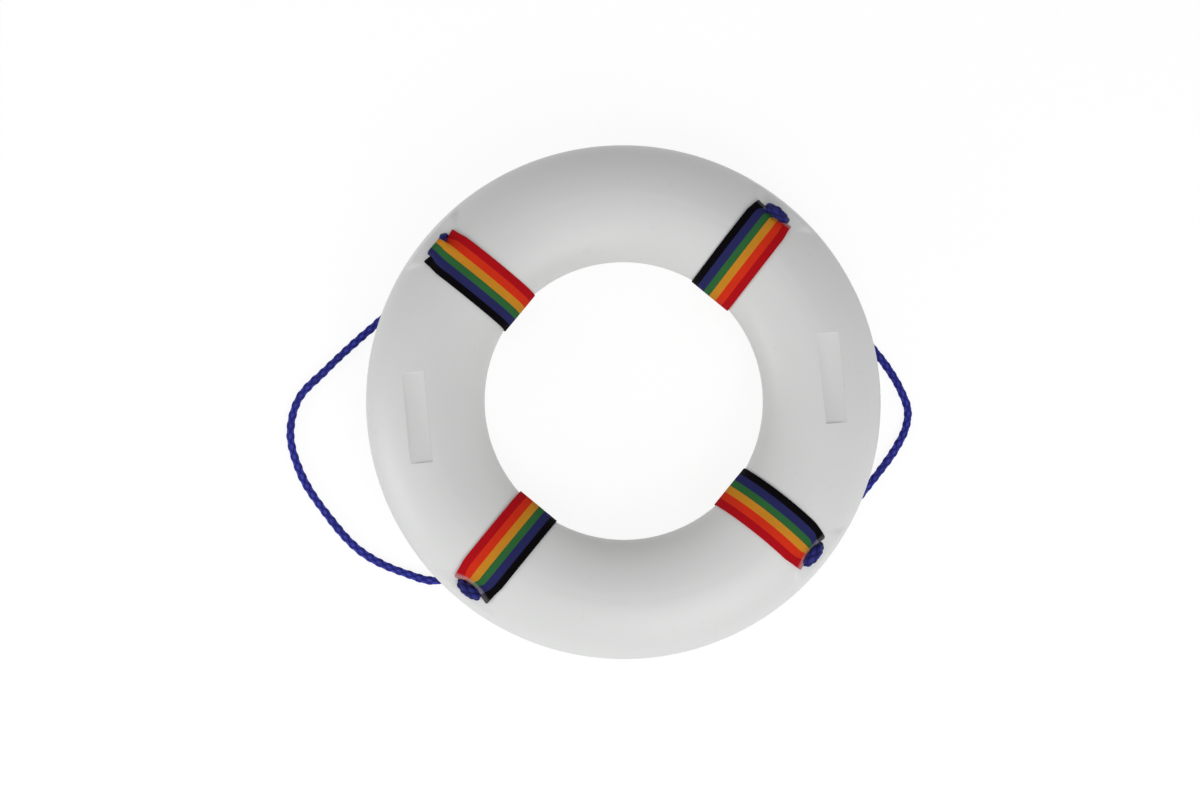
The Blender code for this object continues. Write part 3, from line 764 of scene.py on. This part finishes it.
# White polyethylene, faintly cloudy, with small grey specks and a satin skin
WHITE_SHADES, SPECK = ((0.735, 0.745, 0.735), (0.780, 0.788, 0.778)), (0.58, 0.58, 0.56)
shell_finish = Finish("moulded_white_shell", Roughness=0.42, IOR=1.5)
cloud = shell_finish.noise(shell_finish.place(), 9.0, 3.0, 0.55)
grime = shell_finish.noise(shell_finish.place(), 60.0, 4.0, 0.62)
tint = shell_finish.blend(cloud, *WHITE_SHADES)
shell_finish.feed("Base Color", shell_finish.blend((grime > 0.66) * 0.10, tint, SPECK))
shell_finish.feed("Roughness", cloud * 0.12 + grime * 0.10 + 0.33)
skin = shell_finish.noise(shell_finish.place(), 420.0, 2.0)
shell_finish.bump(skin * 0.7 + grime * 0.6, 0.00025, 0.35)

front = moulded_shell("front_half", True)
front.data.transform(Matrix.Translation((0, 0, SEAM)))
finish_piece(front, shell_finish.material, "shell", "front_shell")
back = moulded_shell("back_half", False)
back.data.transform(Matrix.Translation((0, 0, SEAM)) @ Matrix.Rotation(math.pi, 4, "X"))
finish_piece(back, shell_finish.material, "shell", "back_shell")

# Straps. Four loops of polypropylene webbing with six woven stripes. Each goes round the inner
# part of the ring and into its slot from both faces. It is gathered in the slot, and its corners
# stand out beside the slot's mouth as ears.
WEBBING = 0.0015
STRAP_WIDTH, STRAP_AT_LIP = 0.0553, 0.0525
# Where the webbing narrows on its way out to the slot, and where it stops following the section
NARROWS_FROM, NARROWS_OVER, LEAVES_SECTION = 0.262, 0.012, LIP_RADIUS - 0.0045
# Where the straight run of the bore turns into the flank's, which follows the ring
STRAIGHT_UP_TO, TURNS_OVER = 0.212, 0.040
# Radii between which a strap's middle moves across
SHIFTS_FROM, SHIFTS_OVER = 0.171, 0.103
GATHERED = 0.027
TAIL_RADIUS = 0.27835
PLEAT_DEPTH = 0.0020
LIFT = WEBBING / 2 + 0.0003
STRAP_ACROSS = 44
# How far each strap's middle is moved counter-clockwise at its slot and at the bore, and how far it
# bows out between them
STRAP_SHIFTS = {
    "top_right": (0.0032, 0.0002, 0.0001),
    "top_left": (0.0009, -0.0013, 0.0004),
    "bottom_left": (0.0023, 0.0017, 0.0),
    "bottom_right": (0.0, 0.0005, 0.0013),
}
# Radius and place across of each strap's two corners at its slot, black and red
CORNERS = {
    "top_right": ((0.2802, 0.0270), (0.2797, 0.0222)),
    "top_left": ((0.2828, 0.0258), (0.2814, 0.0240)),
    "bottom_left": ((0.2860, 0.0275), (0.2855, 0.0205)),
    "bottom_right": ((0.2823, 0.0216), (0.2842, 0.0243)),
}
BACK_CORNERS = ((0.2840, 0.0245), (0.2840, 0.0245))
# How much further each strap's fold reaches over its slot on the front
FOLD_REACHES = {"top_right": 0.0, "top_left": 0.0, "bottom_left": 0.0019, "bottom_right": 0.0010}
# Share of the half width from which the strap's corners stand out as ears
EAR_FROM = 0.46
# Where the top left strap is lifted over its rope's end, at the slot and on the flank: the places across
# it at which its two slopes begin, and the slopes' widths
COVER = (-0.0092, 0.0042), (0.0190, 0.0050)
HUMP = (-0.0170, 0.0130), (0.0255, 0.0130)
HUMP_FROM, HUMP_HEIGHT = 0.243, 0.0510
RIPPLE_AT_LIP, RIPPLE = 0.0004, 0.00018


def strap_line(outset):
    """Radius and height along the ring's section, from the lip over the crest to the bore at the seam."""
    lip_turn = math.asin(PAD_TOP / HALF_HEIGHT)
    line = []
    for step in range(57):
        turn = lip_turn + (math.pi - lip_turn) * step / 56
        radius, height = section_point(turn)
        ahead, behind = section_point(turn + 0.01), section_point(turn - 0.01)
        slope = Vector((ahead[0] - behind[0], ahead[1] - behind[1])).normalized()
        line.append(Vector((radius + slope.y * outset, height - slope.x * outset)))
    return line


def lifted(across, span):
    """1 between a span's two places across the strap, with a soft slope inwards from each."""
    (start, rise), (end, fall) = span
    return soft_step((across - start) / rise) * soft_step((end - across) / fall)


def strap_tail(share, corner, wide, spread, reach, cover):
    """A line of the webbing from the seam in its slot, over the fold at the slot's mouth, to the lip.

    Each point is given by its radius, its place across the strap, and its height over the pad's top.
    It is blended from three ways to go: over the middle of the fold, out to a corner's ear, and over
    the rope's end.
    """
    narrow = share * GATHERED / 2
    ear = soft_step((abs(share) - EAR_FROM) / (1 - EAR_FROM))
    pleat = 0.5 - 0.5 * math.cos(abs(share) * math.pi * 2.0)
    inner = TAIL_RADIUS + PLEAT_DEPTH * pleat
    fold = inner + reach * (1 - 0.6 * pleat)
    folded = [
        (inner, narrow, -PAD_TOP),
        (inner, narrow, -0.0220),
        ((inner + fold) / 2 + 0.0004 * ear, narrow, -0.0065),
        (fold, narrow * 1.05, -0.0020),
        (fold - 0.0012, narrow * 1.15, 0.0003),
        (fold - 0.0034, narrow * 0.4 + wide * 0.6, LIFT + 0.0001),
    ]
    eared = [
        *folded[:3],
        (corner - 0.0036, (narrow + wide) / 2, 0.0006),
        (corner, wide, 0.0014),
        (corner - 0.0026, (wide + spread) / 2, LIFT + 0.0013),
    ]
    over_rope = [
        (inner, narrow, -PAD_TOP),
        (inner + 0.0045, narrow, -0.0220),
        (0.2848, narrow, -0.0020),
        (0.2860, narrow * 1.2, 0.0062),
        (0.2848, wide * 0.95, 0.0118),
        (0.2800, wide, 0.0126),
    ]
    blended = []
    for plain, at_ear, above in zip(folded, eared, over_rope):
        point = Vector(plain).lerp(Vector(at_ear), ear).lerp(Vector(above), cover)
        blended.append(Vector((point.x, point.y, point.z + pad_level(math.hypot(point.x, point.y)))))
    blended[0].z = 0.0
    slope = math.tan(PAD_TILT) * (1 - cover) + 0.05 * cover
    onto_flank = Vector((-1, (spread - wide) * 60.0 * ear, slope))
    return hermite(blended, Vector((0, 0, 1)), onto_flank, 7), onto_flank


def strap_run(place, share, front, shifts, hump):
    """The same line over the crest and down the bore, to the seam."""
    at_slot, at_bore, bow = shifts
    run = []
    section = strap_line(LIFT)
    for index, (radius, height) in enumerate(section):
        if radius > LEAVES_SECTION:
            continue
        along = index / (len(section) - 1)
        narrowed = soft_step((radius - NARROWS_FROM) / NARROWS_OVER)
        half = (STRAP_WIDTH + (STRAP_AT_LIP - STRAP_WIDTH) * narrowed) / 2
        outward = min(1.0, max(0.0, (radius - SHIFTS_FROM) / SHIFTS_OVER))
        shift = at_bore + (at_slot - at_bore) * outward + 4 * bow * outward * (1 - outward)
        y = share * half + shift
        chord = half + abs(shift)
        held_in = soft_step((radius - STRAIGHT_UP_TO) / TURNS_OVER)
        x = math.sqrt(radius**2 - chord**2 + (chord**2 - y**2) * held_in)
        fade = math.exp(-((radius - LIP_RADIUS) / 0.020) ** 2)
        ripple = RIPPLE_AT_LIP * (1 + math.cos(share * 7.5 + 0.8)) * fade
        ripple += RIPPLE * (1 + math.sin(share * 5.0 + along * 9.0 + STATIONS[place])) * (1 - along)
        bridge = HUMP_HEIGHT - 0.055 * (radius - HUMP_FROM)
        rise = hump * max(0.0, bridge - height) * soft_step((radius - HUMP_FROM) / 0.010)
        run.append(Vector((x, y, height + front * ripple + rise)))
    return run


def strap_half(place, share, front):
    """One line of the webbing on one face, from the seam in the slot to the seam in the bore.

    share is -1 at the red edge and 1 at the black edge.
    """
    corner, across = (CORNERS[place] if front else BACK_CORNERS)[0 if share > 0 else 1]
    shifts = STRAP_SHIFTS[place] if front else (0.0, STRAP_SHIFTS[place][1], 0.0)
    wide, spread = share * across, share * STRAP_AT_LIP / 2 + shifts[0]
    over_rope = front and place == "top_left"
    cover, hump = over_rope * lifted(wide, COVER), over_rope * lifted(wide, HUMP)
    tail, onto_flank = strap_tail(share, corner, wide, spread, front * FOLD_REACHES[place], cover)
    run = strap_run(place, share, front, shifts, hump)
    return tail[:-1] + hermite([tail[-1], run[0]], onto_flank, run[1] - run[0], 3) + run[1:]


def strap(place):
    """The whole loop as one sheet, front and back alike, given its thickness."""
    name = "webbing_" + place
    columns = []
    for column in range(STRAP_ACROSS + 1):
        share = 1 - 2 * column / STRAP_ACROSS
        front_line = strap_half(place, share, True)
        back_line = [Vector((p.x, p.y, -p.z)) for p in strap_half(place, share, False)]
        columns.append(front_line + back_line[-2:0:-1])
    count = len(columns[0])
    middle = columns[STRAP_ACROSS // 2]
    lengths = [0.0]
    for a, b in zip(middle, middle[1:] + middle[:1]):
        lengths.append(lengths[-1] + (b - a).length)
    vertices = [point for column in columns for point in column]
    faces, texture = [], []
    for column in range(STRAP_ACROSS):
        for i in range(count):
            j = (i + 1) % count
            a, b = column * count, (column + 1) * count
            faces.append((a + i, a + j, b + j, b + i))
            left, right_side = (STRAP_WIDTH * c / STRAP_ACROSS for c in (column, column + 1))
            here, ahead = (min(lengths[k], lengths[-1] - lengths[k]) for k in (i, i + 1))
            texture += [(left, here), (left, ahead), (right_side, ahead), (right_side, here)]
    mesh = bpy.data.meshes.new(name)
    mesh.from_pydata(vertices, [], faces)
    layer = mesh.uv_layers.new(name="webbing")
    for loop, uv in zip(layer.data, texture):
        loop.uv = uv
    piece = bpy.data.objects.new(name, mesh)
    bpy.context.scene.collection.objects.link(piece)
    mesh.transform(station_frame(STATIONS[place]))
    bpy.context.view_layer.objects.active = piece
    body = piece.modifiers.new("thickness", "SOLIDIFY")
    body.thickness, body.offset = WEBBING, 0.0
    bpy.ops.object.modifier_apply(modifier="thickness")
    finish_piece(piece, strap_finish.material, "webbing", "strap_" + place, angle=60)


strap_finish = Finish("rainbow_webbing", Roughness=0.85, Specular_IOR_Level=0.06)
uv = strap_finish.node("ShaderNodeUVMap", {"uv_map": "webbing"})
across, along, _ = strap_finish.parts(uv)
# Widths of a warp yarn and of a pass of the weft
WARP, WEFT = 0.00110, 0.00165
warp = across / WARP
weft = along / WEFT
step_up = (warp.floor() % 2) * 0.5
rib = 1 - ((warp % 1 - 0.5).size() * 2) ** 2
float_over = 1 - (((weft + step_up) % 1 - 0.5).size() * 2) ** 2
weave = rib * (float_over * 0.6 + 0.4)
stripe = across / STRAP_WIDTH + (float_over - 0.5) * 0.004
BLACK, VIOLET, GREEN = (0.0025, 0.0013, 0.0022), (0.0285, 0.0310, 0.139), (0.0382, 0.177, 0.0497)
AMBER, ORANGE, RED = (0.793, 0.318, 0.0241), (0.872, 0.0405, 0.0117), (0.589, 0.0059, 0.0124)
SOIL_AND_WEAVE_SHADE, FOLD_HIGHLIGHT = (0.004, 0.004, 0.006), (0.52, 0.48, 0.49)
# Share of the width at which the black stripe ends
BLACK_EDGE = 0.158
colour = strap_finish.blend(stripe > BLACK_EDGE, BLACK, VIOLET)
for edge, next_colour in ((0.333, GREEN), (0.488, AMBER), (0.655, ORANGE), (0.826, RED)):
    colour = strap_finish.blend(stripe > edge, colour, next_colour)
fuzz = strap_finish.noise(strap_finish.place(), 900.0, 2.0)
soil = strap_finish.noise(strap_finish.place(), 45.0, 3.0)
# Painted shade in the weave's hollows, where the yarns dip between ribs and under the weft, and real soiling
# in random patches: both darken the stripes towards this colour.
dark = strap_finish.blend(0.55, colour, SOIL_AND_WEAVE_SHADE)
colour = strap_finish.blend((1 - weave) * 0.50 + (soil - 0.4) * 0.3, colour, dark)
# Painted highlight: paler where it bends into the slot, and least at the black edge
fold = 1 - ((along - 0.0390).size() / 0.0040) ** 2
fold_highlight = (fold > 0) * fold * ((stripe > BLACK_EDGE) * 0.34 + 0.18)
colour = strap_finish.blend(fold_highlight + (fuzz - 0.5) * 0.02, colour, FOLD_HIGHLIGHT)
strap_finish.feed("Base Color", colour)
strap_finish.bump(weave + fuzz * 0.3, 0.0004, 0.8)
for place in STATIONS:
    strap(place)

# Plugs. Two round polyethylene plugs are welded into pockets of the back shell: one in the hole
# through which the foam was poured, and one in the vent hole opposite.
PLUG_RADIUS, PLUG_THICKNESS, PLUG_BEVEL = 0.012, 0.0015, 0.0004
# How deep a plug's middle sits under the crest, and the length of the shank in the hole
PLUG_SUNK, PLUG_SHANK = 0.00155, 0.0032
plug_finish = Finish("plug_plastic", Roughness=0.50)
cloudy = plug_finish.noise(plug_finish.place(), 160.0, 3.0)
plug_finish.feed("Base Color", plug_finish.blend(cloudy, (0.66, 0.655, 0.63), (0.73, 0.725, 0.70)))
plug_finish.bump(cloudy, 0.0002, 0.3)
for name, side in (("fill_plug", -1), ("vent_plug", 1)):
    bpy.ops.object.select_all(action="DESELECT")
    bpy.ops.mesh.primitive_cylinder_add(vertices=64, radius=PLUG_RADIUS, depth=PLUG_THICKNESS)
    plug = start_piece(name)
    bpy.ops.object.mode_set(mode="EDIT")
    select_where(lambda place: place.z > 0)
    bpy.ops.mesh.bevel(offset=PLUG_BEVEL, segments=2, affect="EDGES")
    select_where(lambda place: place.z > 0.0007)
    bpy.ops.mesh.inset(thickness=0.0030)
    bpy.ops.mesh.inset(thickness=0.0008, depth=-0.0005)
    select_where(lambda place: place.z < -0.0007)
    bpy.ops.mesh.inset(thickness=0.0050)
    bpy.ops.mesh.extrude_region_move(TRANSFORM_OT_translate={"value": (0, 0, -PLUG_SHANK)})
    bpy.ops.object.mode_set(mode="OBJECT")
    lift = Matrix.Translation((0, -side * CREST_RADIUS, SEAM - HALF_HEIGHT + PLUG_SUNK))
    plug.data.transform(lift @ Matrix.Rotation(math.pi, 4, "X"))
    finish_piece(plug, plug_finish.material, "plug", "foam_" + name)

# Foam core. Closed-cell polyurethane foam, poured into the welded shells, fills them wall to wall. It
# keeps the form that the model gives it and doesn't show.
foam_finish = Finish("poured_foam", Roughness=0.92)
cells = foam_finish.node("ShaderNodeTexVoronoi", sockets={"Vector": foam_finish.place(), "Scale": 700.0})
foam_finish.feed("Base Color", foam_finish.blend(cells, (0.76, 0.64, 0.36), (0.60, 0.47, 0.22)))
foam_finish.bump(cells, 0.0005)
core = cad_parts["foam_core"]
core.data.materials.clear()
core.data.materials.append(foam_finish.material)

# Floor. A plain white studio floor, which shows white to the camera and in reflections, and keeps the
# ring's soft shadow.
bpy.ops.object.select_all(action="DESELECT")
bpy.ops.mesh.primitive_plane_add(size=60.0, location=(0, 0, -0.0003))
floor = start_piece("studio_floor")
floor_finish = Finish("white_floor", Roughness=0.9, Specular_IOR_Level=0.1, Emission_Strength=1.0)
rays = [floor_finish.node("ShaderNodeLightPath", output=name) for name in (
    "Is Camera Ray", "Is Glossy Ray", "Is Transmission Ray")]
seen = rays[0].math("MAXIMUM", rays[0].math("MAXIMUM", rays[0], rays[1]), rays[2])
floor_finish.feed("Base Color", floor_finish.blend(seen, (0.82, 0.82, 0.82), (0.16, 0.16, 0.16)))
floor_finish.feed("Emission Color", floor_finish.blend(seen, (0, 0, 0), (0.88, 0.88, 0.88)))
floor.data.materials.append(floor_finish.material)

# Light. A low soft lamp on the picture's left and a larger one on its lower right, each aimed at the
# ring's middle, and an even white surround. Directions are in the picture's frame, in metres.
world = bpy.data.worlds.new("studio")
bpy.context.scene.world = world
world.use_nodes = True
world.node_tree.nodes["Background"].inputs["Color"].default_value = (1.0, 1.0, 1.0, 1.0)
world.node_tree.nodes["Background"].inputs["Strength"].default_value = 0.50
for name, direction, size, power in (
    ("left_lamp", (-2.205, -0.591, 0.742), 1.0, 13.5),
    ("right_lamp", (0.849, -1.470, 1.697), 1.4, 20.0),
):
    lamp = bpy.data.lights.new(name, "AREA")
    lamp.size, lamp.energy = size, power
    light = bpy.data.objects.new(name, lamp)
    bpy.context.scene.collection.objects.link(light)
    light.location = picture @ Vector(direction)
    light.rotation_euler = (-light.location).to_track_quat("-Z", "Y").to_euler()

bpy.context.scene.view_settings.view_transform = "Standard"
